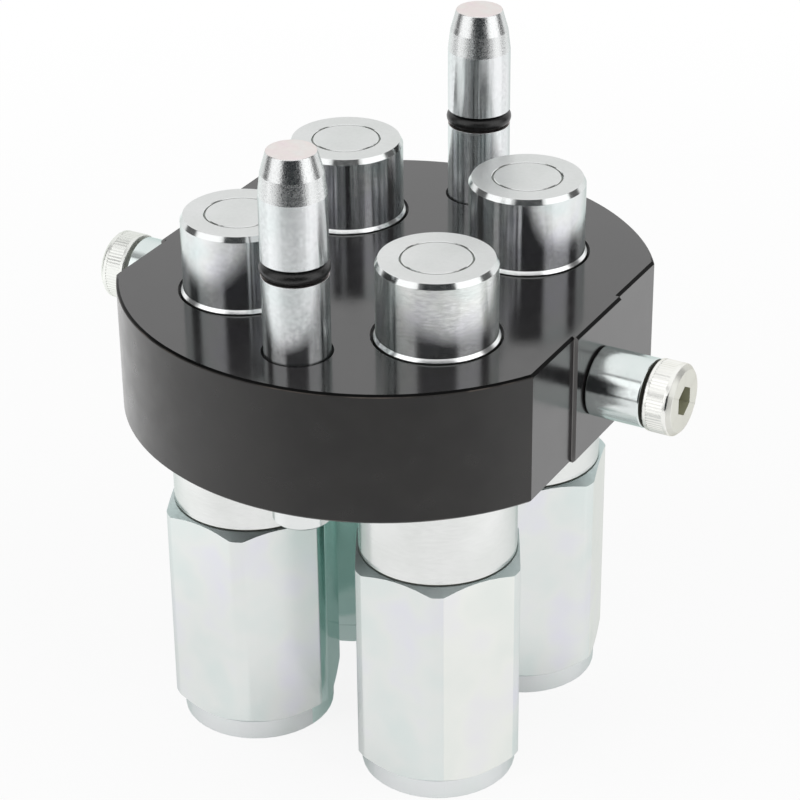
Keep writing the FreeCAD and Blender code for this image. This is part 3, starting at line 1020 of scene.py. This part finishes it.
    def build_poppet(self) -> None:
        """Flat-face poppet with its seal groove, spring boss and tail."""
        bottom, top = self.reach("poppet")
        radius, tail = self.poppet_diameter / 2, self.tail_diameter / 2
        boss, flange = self.boss_diameter / 2, self.flange_diameter / 2
        groove_low, groove_high, groove_radius = self.seal_groove
        land = radius - self.slot_width
        mesh = self.turned([
            (0, bottom),
            (tail, bottom, 0.6),
            (tail, self.boss_bottom),
            (boss, self.boss_bottom, self.edge),
            (boss, self.flange_bottom),
            (flange, self.flange_bottom, self.edge),
            (flange, self.land_bottom, self.edge),
            (radius, self.land_bottom),
            (radius, groove_low),
            (groove_radius, groove_low),
            (groove_radius, groove_high),
            (radius, groove_high),
            (radius, top - self.slot_depth),
            (land, top - self.slot_depth),
            (land, top - self.valve_break),
            (land - self.valve_break, top),
            (0, top),
        ], False, self.segments)
        self.show("valve_face", mesh, self.poppet_finish, "plated_steel", "poppet", self.node("valve"))

    def poppet_finish(self, centre: Vector, normal: Vector) -> Finish:
        """Faced ends, painted shade in the slot round the face, and bright walls."""
        top = self.reach("poppet")[1]
        if top - self.slot_depth - 0.01 < centre.z < top - self.valve_break:
            return GAP_SHADE_ZINC
        return FACED_ZINC if is_end_face(normal) else BRIGHT_ZINC

    def adaptor_outline(self, angle: float) -> list[Point]:
        """Outline of the port adaptor at an angle from the middle of its corner.

        Args:
            angle: Angle round the axis, in radians.

        Returns:
            Points of the closed outline, in millimetres.
        """
        corner, land = self.corner_diameter / 2, self.hex_land_diameter / 2
        past = (corner - hexagon_radius(angle, self.across_flats)) / self.corner_blend
        side = corner - self.corner_blend * math.log(math.exp(past) + 1)
        top = self.shoulder_bottom - (side - land) * math.tan(math.radians(self.top_angle))
        low = self.hex_bottom + (side - land) * math.tan(math.radians(self.bottom_angle))
        foot = self.reach("port_adaptor")[0]
        core, bore, end = self.port_core_diameter / 2, self.flow_bore_diameter / 2, self.end_diameter / 2
        root = core + self.port_thread_depth
        thread_end = foot + self.port_depth
        core_low, root_high = (thread_end - runout for runout in self.port_thread_runout)
        cone_top = thread_end + (core - bore) / math.tan(math.radians(self.drill_angle))
        spigot, pilot = self.thread_diameter / 2 - self.play, self.pilot_diameter / 2 - self.play
        groove = pilot - self.pilot_groove_depth
        groove_low, groove_high = self.thread_top + self.pilot_land, self.spigot_top - self.pilot_land
        return rounded([
            (bore, self.spigot_top),
            (bore, cone_top),
            (core, thread_end),
            (core, core_low),
            (root, root_high),
            (root, foot + self.port_mouth),
            (root + self.port_mouth_width, foot, 0.1),
            (end, foot, 0.5),
            (end, self.hex_bottom),
            (land, self.hex_bottom, 0.05),
            (side, low, self.edge),
            (side, top, self.edge),
            (land, self.shoulder_bottom, 0.05),
            (spigot, self.shoulder_bottom),
            (spigot, self.thread_top),
            (pilot, self.thread_top),
            (pilot, groove_low),
            (groove, groove_low),
            (groove, groove_high),
            (pilot, groove_high),
            (pilot, self.spigot_top, 0.1),
        ], closed=True)

    def build_adaptor(self) -> None:
        """Long hexagon with its turned end, and the thread in its port."""
        turn = self.place.matrix @ Matrix.Rotation(math.radians(self.hex_turn), 4, "Z")
        land_edge = math.degrees(math.acos(self.across_flats / self.corner_diameter))
        mesh = revolved(self.adaptor_outline, hexagon_angles(land_edge), turn)
        self.show("adaptor", mesh, self.adaptor_finish, "plated_hexagon", "port_adaptor")

        length = (self.port_depth - self.port_thread_spare) * MM
        thread = grown(thread_tree(), {
            "Turns": length / (self.port_thread_pitch * MM),
            "Radius": (self.port_core_diameter / 2 + self.port_thread_depth) * MM,
            "Depth": self.port_thread_depth * MM,
            "Start": (self.reach("port_adaptor")[0] + self.port_thread_start) * MM,
            "Length": length,
            "Material": BRIGHT_ZINC.material(self.place),
        }, self.place.matrix)
        put(self.node("thread"), thread, PLATE_BODY, "plated_hexagon")

    def adaptor_finish(self, centre: Vector, normal: Vector) -> Finish:
        """Hexagon, with a painted green reflection on the flats facing the plate's centre and painted light
        on the outer flat, a rough cone above whose darker teal is partly painted reflection, turned end
        below, bright port.
        """
        if centre.xy.length < self.end_diameter / 2 - self.end_wall:
            return BRIGHT_ZINC
        # Cone: rougher turning, with a darker teal that is partly painted reflection.
        if normal.z > 0.3:
            return CONE_ZINC
        # Painted green reflection on the flats that face the plate's centre.
        if normal.xy.dot(self.place.centre.xy.normalized()) < -0.5:
            return PAINTED_GREEN_REFLECTION_ZINC
        if centre.z < self.hex_bottom:
            return END_ZINC
        on_corner = centre.xy.length > self.corner_diameter / 2 - 0.03
        # Painted light on the outer flat, away from its corners.
        return PAINTED_LIGHT_FLAT_ZINC if self.is_outer_flat(centre) and not on_corner else HEXAGON_ZINC

    def is_outer_flat(self, centre: Vector) -> bool:
        """Whether a spot lies on the flat that looks away from the plate's centre."""
        outward = self.place.centre
        angle = math.degrees(math.atan2(centre.y, centre.x)) - self.hex_turn
        flat_turn = math.radians(60 * math.floor(angle / 60) + 30 + self.hex_turn)
        return math.cos(flat_turn - math.atan2(outward.y, outward.x)) > 0.85


@dataclass
class GuidePin(Group):
    """Guide pin with its seal, its cap screw and its lock washer."""

    anchor: ClassVar[str] = "guide_pin"
    prefix: ClassVar[str] = "guide_"
    diameter: float = 14.3
    tip_diameter: float = 10.5
    cone_diameter: float = 13.2
    cone_height: float = 40.6
    taper_height: float = 35.9
    groove_bottom: float = 17.85
    groove_top: float = 21.5
    groove_depth: float = 2.94
    tapped_diameter: float = 8.1
    tapped_top: float = 0.0
    tip_break: float = 0.35
    edge: float = 0.06
    segments: int = 160

    def build(self) -> None:
        """Make and dress the pin and dress its small pieces."""
        foot, top = self.reach("guide_pin")
        radius, inner = self.diameter / 2, self.diameter / 2 - self.groove_depth
        mesh = self.turned([
            (0, self.tapped_top),
            (self.tapped_diameter / 2, self.tapped_top),
            (self.tapped_diameter / 2, foot),
            (radius, foot, 0.3),
            (radius, self.groove_bottom, self.edge),
            (inner, self.groove_bottom),
            (inner, self.groove_top),
            (radius, self.groove_top, self.edge),
            (radius, self.taper_height, self.edge),
            (self.cone_diameter / 2, self.cone_height, self.edge),
            (self.tip_diameter / 2, top, self.tip_break),
            (0, top),
        ], False, self.segments)
        self.show("pin", mesh, self.finish_of, "plated_pin", "guide_pin")
        self.dress_nodes(guide_pin_seal=SEAL_RUBBER, guide_pin_screw=BRIGHT_ZINC, guide_pin_washer=WIRE_STEEL)

    def finish_of(self, centre: Vector, normal: Vector) -> Finish:
        """Ground pin below, peened cone and taper above, and a faced tip."""
        if normal.z > 0.6:
            return TIP_ZINC
        return PEENED_ZINC if centre.z > self.taper_height else PIN_ZINC


@dataclass
class CamRoller(Group):
    """Roller on one of the plate's flats, and the knurled low-head screw that holds it."""

    anchor: ClassVar[str] = "cam_roller"
    prefix: ClassVar[str] = "cam_"
    axis: Axis
    head_finish: Finish = SCREW_ZINC
    face_finish: Finish = HEAD_ZINC
    # The ends default to painted shade for the crevice under the screw's head.
    end_finish: Finish = CREVICE_SHADE_ZINC
    roller_diameter: float = 15.4
    roller_bore: float = 11.1
    shoulder_diameter: float = 11.0
    thread_diameter: float = 10.0
    head_diameter: float = 16.0
    head_height: float = 6.45
    head_chamfer: float = 1.0
    pad_face: float = 52.25
    socket: float = 6.0
    socket_depth: float = 3.5
    socket_corner: float = 29.0
    knurl_start: float = 0.9
    knurl_end: float = 4.6
    knurl_height: float = 0.12
    knurl_ridges: int = 68
    segments: int = 160

    def build(self) -> None:
        """Make and dress the roller, the screw and its knurl."""
        self.build_roller()
        self.build_screw()
        self.build_knurl()

    def build_roller(self) -> None:
        """Hardened bush that turns on the screw's shoulder."""
        near, far = self.reach("cam_roller")
        bore, radius = self.roller_bore / 2, self.roller_diameter / 2
        corners = [(bore, near, 0.1), (radius, near, 0.4), (radius, far, 0.4), (bore, far, 0.1)]
        mesh = self.turned(corners, True, self.segments)
        self.show("bush", mesh, self.roller_finish, "roller_steel", "cam_roller", self.node("roller"))

    def roller_finish(self, centre: Vector, normal: Vector) -> Finish:
        """Bright wall, and ends in the given end finish: painted shade on the right roller, painted light on
        the left one.
        """
        return self.end_finish if is_end_face(normal) else ROLLER_ZINC

    def screw_outline(self, angle: float) -> list[Point]:
        """Outline of the screw at an angle from the middle of a corner of its socket."""
        tip, top = self.reach("cam_screw")
        under = top - self.head_height
        knurl_near, knurl_far = under + self.knurl_start, under + self.knurl_end
        thread, shoulder, head = self.thread_diameter / 2, self.shoulder_diameter / 2, self.head_diameter / 2
        valley = head - self.knurl_height
        side = hexagon_radius(angle, self.socket)
        floor = top - self.socket_depth
        return rounded([
            (0, tip),
            (thread, tip, 0.6),
            (thread, self.pad_face),
            (shoulder, self.pad_face),
            (shoulder, under),
            (head, under, 0.3),
            (head, knurl_near),
            (valley, knurl_near),
            (valley, knurl_far),
            (head, knurl_far),
            (head, top - self.head_chamfer, 0.3),
            (head - self.head_chamfer, top, 0.2),
            (side, top, 0.12),
            (side, floor),
            (0, floor),
        ], closed=False)

    def build_screw(self) -> None:
        """Shoulder screw with a low head and a hexagon socket."""
        mesh = revolved(self.screw_outline, hexagon_angles(self.socket_corner), self.place.matrix)
        self.show("screw", mesh, self.screw_finish, "plated_screw", "cam_screw")

    def build_knurl(self) -> None:
        """Knurl round the screw's head."""
        valley = self.head_diameter / 2 - self.knurl_height
        under = self.reach("cam_screw")[1] - self.head_height
        knurl = grown(knurl_tree(), {
            "Ridges": self.knurl_ridges,
            "Radius": valley * MM,
            "Height": self.knurl_height * MM,
            "Width": math.pi * valley / self.knurl_ridges * MM,
            "Start": (under + self.knurl_start) * MM,
            "Length": (self.knurl_end - self.knurl_start) * MM,
            "Material": self.head_finish.material(self.place),
        }, self.place.matrix)
        put(self.node("knurl"), knurl, PLATE_BODY, "plated_screw")

    def screw_finish(self, centre: Vector, normal: Vector) -> Finish:
        """Olive socket with a painted reflection, duller face, bright head, and the shoulder in the end
        finish, painted shade on the right and painted light on the left.
        """
        top = self.reach("cam_screw")[1]
        inside = centre.xy.length < self.socket / math.sqrt(3) + 0.05
        if inside and top - self.socket_depth - 0.1 < centre.z < top - 0.05:
            return PAINTED_SOCKET_REFLECTION
        if centre.z > top - self.head_chamfer:
            return self.face_finish
        if normal.z < -END_COSINE or centre.z < top - self.head_height:
            return self.end_finish
        return self.head_finish


# Studio


@dataclass(frozen=True)
class Panel:
    """Part of the surroundings that only mirrors see, with its angles in degrees.

    The bearing is measured from the camera's side of the object, and grows to the right.
    """

    bearing: float
    half_width: float
    elevation: float
    half_height: float
    softness: float
    level: float


@dataclass(frozen=True)
class PaintedLightPool:
    """Painted pool of light on the floor, which only mirrors see: brighter towards a bearing in degrees,
    between two distances in metres.
    """

    bearing: float
    near: float
    far: float
    level: float


@dataclass
class Studio:
    """Pale floor, white surroundings with dark gaps between their panels, soft boxes and the camera."""

    floor_size: float = 1.0
    shadow_share: float = 0.12
    shadow_reach: tuple[float, float] = (0.2, 0.45)
    mirror_share: float = 0.85
    shaded_share: float = 0.3
    shaded_reach: tuple[float, float] = (0.035, 0.0595)
    painted_light_pools: tuple[PaintedLightPool, ...] = (PaintedLightPool(-120, 0.06, 0.19, 1.35), PaintedLightPool(75, 0.1, 0.26, 1.3))
    light_level: float = 0.7
    camera_place: tuple[float, float, float] = (0.26426, -0.46696, 0.26046)
    camera_turn: tuple[float, float, float] = (0.50978, -0.50127, -0.01092)
    camera_lens: float = 121.27
    box_size: float = 0.6
    box_power: float = 1.8
    box_bearing: float = 62.0
    box_slope: float = 0.95
    box_distance: float = 0.9
    card_distance: float = 0.42
    card_foot_width: float = 0.7
    card_top_width: float = 0.53
    card_height: float = 0.41
    panels: tuple[Panel, ...] = (
        Panel(-62, 27, 20, 28, 3, 1.25),
        Panel(62, 27, 20, 28, 3, 1.35),
        Panel(0, 28, 31.5, 6, 1, 0.08),
        Panel(-56, 22, -12, 2.5, 1.5, 0.15),
        Panel(0, 52, -10, 5, 4, 0.08),
        Panel(-65, 42, 50, 2.5, 1.5, 0.15),
        Panel(65, 42, 50, 2.5, 1.5, 0.15),
        Panel(-103, 14, 22, 34, 3, 0.12),
        Panel(100, 13, 22, 34, 3, 0.12),
    )

    def build(self) -> None:
        """Set up the whole studio, with colours left as the renderer gives them."""
        bpy.context.scene.view_settings.view_transform = "Standard"
        self.build_floor()
        self.build_world()
        self.build_boxes()
        self.build_card()
        self.build_camera()

    def towards(self, bearing: float) -> Vector:
        """Level direction from the object at a bearing in degrees from the camera's side."""
        turn = self.camera_turn[0] + math.radians(bearing)
        return Vector((math.sin(turn), -math.cos(turn), 0))

    def build_floor(self) -> None:
        """Pale sheet under the ports, which keeps a faint shadow."""
        half = self.floor_size / 2
        sides = ((-half, -half), (half, -half), (half, half), (-half, half))
        self.build_sheet("floor", [(x, y, cad_box[0].z) for x, y in sides], self.floor_material())

    def build_sheet(self, name: str, corners: Sequence[Sequence[float]],
                    material: Material) -> bpy.types.Object:
        """Put a flat sheet with four corners on the stage."""
        mesh = bpy.data.meshes.new(name)
        mesh.from_pydata(corners, [], [(0, 1, 2, 3)])
        mesh.materials.append(material)
        sheet = add_object(name, mesh)
        return sheet

    def floor_material(self) -> Material:
        """White paper that the camera sees as plain white, with a faint shadow kept round the object."""
        material = bpy.data.materials.new("white_paper")
        tree = emptied_tree(material)
        ray = add_node(tree, "ShaderNodeLightPath").outputs
        spot = add_node(tree, "ShaderNodeTexCoord").outputs["Object"]
        reach = add_node(tree, "ShaderNodeVectorMath", {
            0: spot, 1: (0, 0, cad_box[0].z),
        }, operation="DISTANCE").outputs["Value"]
        white_share = between(tree, reach, 1 - self.shadow_share, 1.0, *self.shadow_reach)
        mirror_share = between(tree, reach, self.shaded_share, self.mirror_share, *self.shaded_reach)
        seen = calc(tree, "MULTIPLY", ray["Is Camera Ray"], white_share)
        mirrored = calc(tree, "MULTIPLY", ray["Is Glossy Ray"], mirror_share)
        either = calc(tree, "MAXIMUM", seen, mirrored)
        through = calc(tree, "MAXIMUM", either, ray["Is Transmission Ray"])
        level = 1.0
        # Painted pools of light on the floor, which only mirrors see.
        for pool in self.painted_light_pools:
            along = add_node(tree, "ShaderNodeVectorMath", {
                0: spot, 1: self.towards(pool.bearing),
            }, operation="DOT_PRODUCT")
            level = between(tree, along.outputs["Value"], level, pool.level, pool.near, pool.far)
        paper = add_node(tree, "ShaderNodeBsdfDiffuse", {"Color": linear("F4F4F4")})
        white = add_node(tree, "ShaderNodeEmission", {
            "Color": linear("FFFFFF"), "Strength": between(tree, ray["Is Glossy Ray"], 1.0, level),
        })
        mixed = add_node(tree, "ShaderNodeMixShader", {0: through, 1: paper.outputs[0], 2: white.outputs[0]})
        add_node(tree, "ShaderNodeOutputMaterial", {"Surface": mixed.outputs[0]})
        return material

    def build_world(self) -> None:
        """White surroundings for the camera, panels for mirrors, and even light for the rest."""
        world = bpy.data.worlds.new("surroundings")
        bpy.context.scene.world = world
        tree = emptied_tree(world)
        ray = add_node(tree, "ShaderNodeLightPath").outputs
        mirrored = between(tree, ray["Is Glossy Ray"], self.light_level, self.panel_levels(tree))
        plain = calc(tree, "MAXIMUM", ray["Is Camera Ray"], ray["Is Transmission Ray"])
        light = add_node(tree, "ShaderNodeBackground", {
            "Color": linear("FFFFFF"), "Strength": between(tree, plain, mirrored, 1.0),
        })
        add_node(tree, "ShaderNodeOutputWorld", {"Surface": light.outputs[0]})

    def panel_levels(self, tree: Tree) -> Socket:
        """Brightness of the surroundings for each direction: white, with the panels laid over it in order."""
        source = add_node(tree, "ShaderNodeTexCoord")
        turned_way = add_node(tree, "ShaderNodeVectorRotate", {
            "Vector": source.outputs["Generated"], "Angle": math.pi / 2 - self.camera_turn[0],
        }, rotation_type="Z_AXIS")
        way = add_node(tree, "ShaderNodeSeparateXYZ", {0: turned_way.outputs[0]}).outputs
        bearing = calc(tree, "ARCTAN2", way["Y"], way["X"])
        elevation = calc(tree, "ARCSINE", way["Z"])
        level = 1.0
        for panel in self.panels:
            across = self.within(tree, bearing, panel.bearing, panel.half_width, panel.softness)
            upward = self.within(tree, elevation, panel.elevation, panel.half_height, panel.softness)
            level = between(tree, calc(tree, "MULTIPLY", across, upward), level, panel.level)
        return level

    def within(self, tree: Tree, angle: Socket, middle: float, half: float, softness: float) -> Socket:
        """Share from 1 inside a range of angles to 0 outside it, where the range is in degrees."""
        shifted = calc(tree, "SUBTRACT", angle, math.radians(middle))
        away = calc(tree, "ABSOLUTE", calc(tree, "WRAP", shifted, math.pi, -math.pi))
        inner, outer = math.radians(half - softness), math.radians(half + softness)
        return between(tree, away, 1.0, 0.0, inner, outer, interpolation_type="SMOOTHSTEP")

    def build_boxes(self) -> None:
        """Two soft boxes high on both sides of the camera."""
        for label, side in (("left", -1), ("right", 1)):
            lamp = bpy.data.lights.new(f"soft_box_{label}", "AREA")
            lamp.shape = "SQUARE"
            lamp.size = self.box_size
            lamp.energy = self.box_power
            box = add_object(lamp.name, lamp)
            away = (self.towards(side * self.box_bearing) + Vector((0, 0, self.box_slope))).normalized()
            box.location = away * self.box_distance
            box.rotation_euler = away.to_track_quat("Z", "Y").to_euler()
            box.visible_glossy = False

    def build_card(self) -> None:
        """Dark card behind the camera, which only the metal sees: the unlit room between the soft boxes."""
        across = self.towards(90)
        low, high = across * self.card_foot_width / 2, across * self.card_top_width / 2
        foot = self.towards(0) * self.card_distance + Vector((0, 0, cad_box[0].z))
        top = foot + Vector((0, 0, self.card_height))
        material = bpy.data.materials.new("black_card")
        tree = emptied_tree(material)
        dark = add_node(tree, "ShaderNodeEmission", {"Color": linear("262A2C"), "Strength": 1.0})
        add_node(tree, "ShaderNodeOutputMaterial", {"Surface": dark.outputs[0]})
        card = self.build_sheet("dark_card", [foot - low, foot + low, top + high, top - high], material)
        card.visible_camera = False
        card.visible_diffuse = False
        card.visible_shadow = False
        card.visible_transmission = False

    def build_camera(self) -> None:
        """Camera at the place, turn and lens that the object's own edges and circles give."""
        yaw, pitch, roll = self.camera_turn
        forward = -self.towards(0) * math.cos(pitch) + Vector((0, 0, math.sin(pitch)))
        level = self.towards(90)
        up = level.cross(forward)
        right = level * math.cos(roll) + up * math.sin(roll)
        top = up * math.cos(roll) - level * math.sin(roll)
        lens = bpy.data.cameras.new("camera")
        lens.sensor_width = 36.0
        lens.lens = self.camera_lens
        lens.clip_start = 0.01
        camera = add_object("camera", lens)
        turn = Matrix((right, top, -forward)).transposed().to_4x4()
        camera.matrix_world = Matrix.Translation(self.camera_place) @ turn
        bpy.context.scene.camera = camera


def main() -> None:
    """Build the object piece by piece and the studio round it."""
    logging.basicConfig(level=logging.INFO, format="%(name)s: %(message)s")
    parts = [
        Plate(),
        CouplingLine("front", hex_turn=-2.0, wall_finish=SCORED_ZINC),
        CouplingLine("right", hex_turn=-13.5),
        CouplingLine("back", hex_turn=11.0),
        CouplingLine("left", hex_turn=-8.5),
        GuidePin("front"),
        GuidePin("back"),
        CamRoller("right", Axis.RIGHT),
        # The left screw and roller take retoned finishes: painted light and shade for their side.
        CamRoller("left", Axis.LEFT, head_finish=PAINTED_LIGHT_HEAD_ZINC, face_finish=PAINTED_LIGHT_HEAD_ZINC,
                  end_finish=PAINTED_LIGHT_END_ZINC),
        Studio(),
    ]
    for part in parts:
        part.build()
    bpy.context.view_layer.update()


if __name__ == "__main__":
    main()
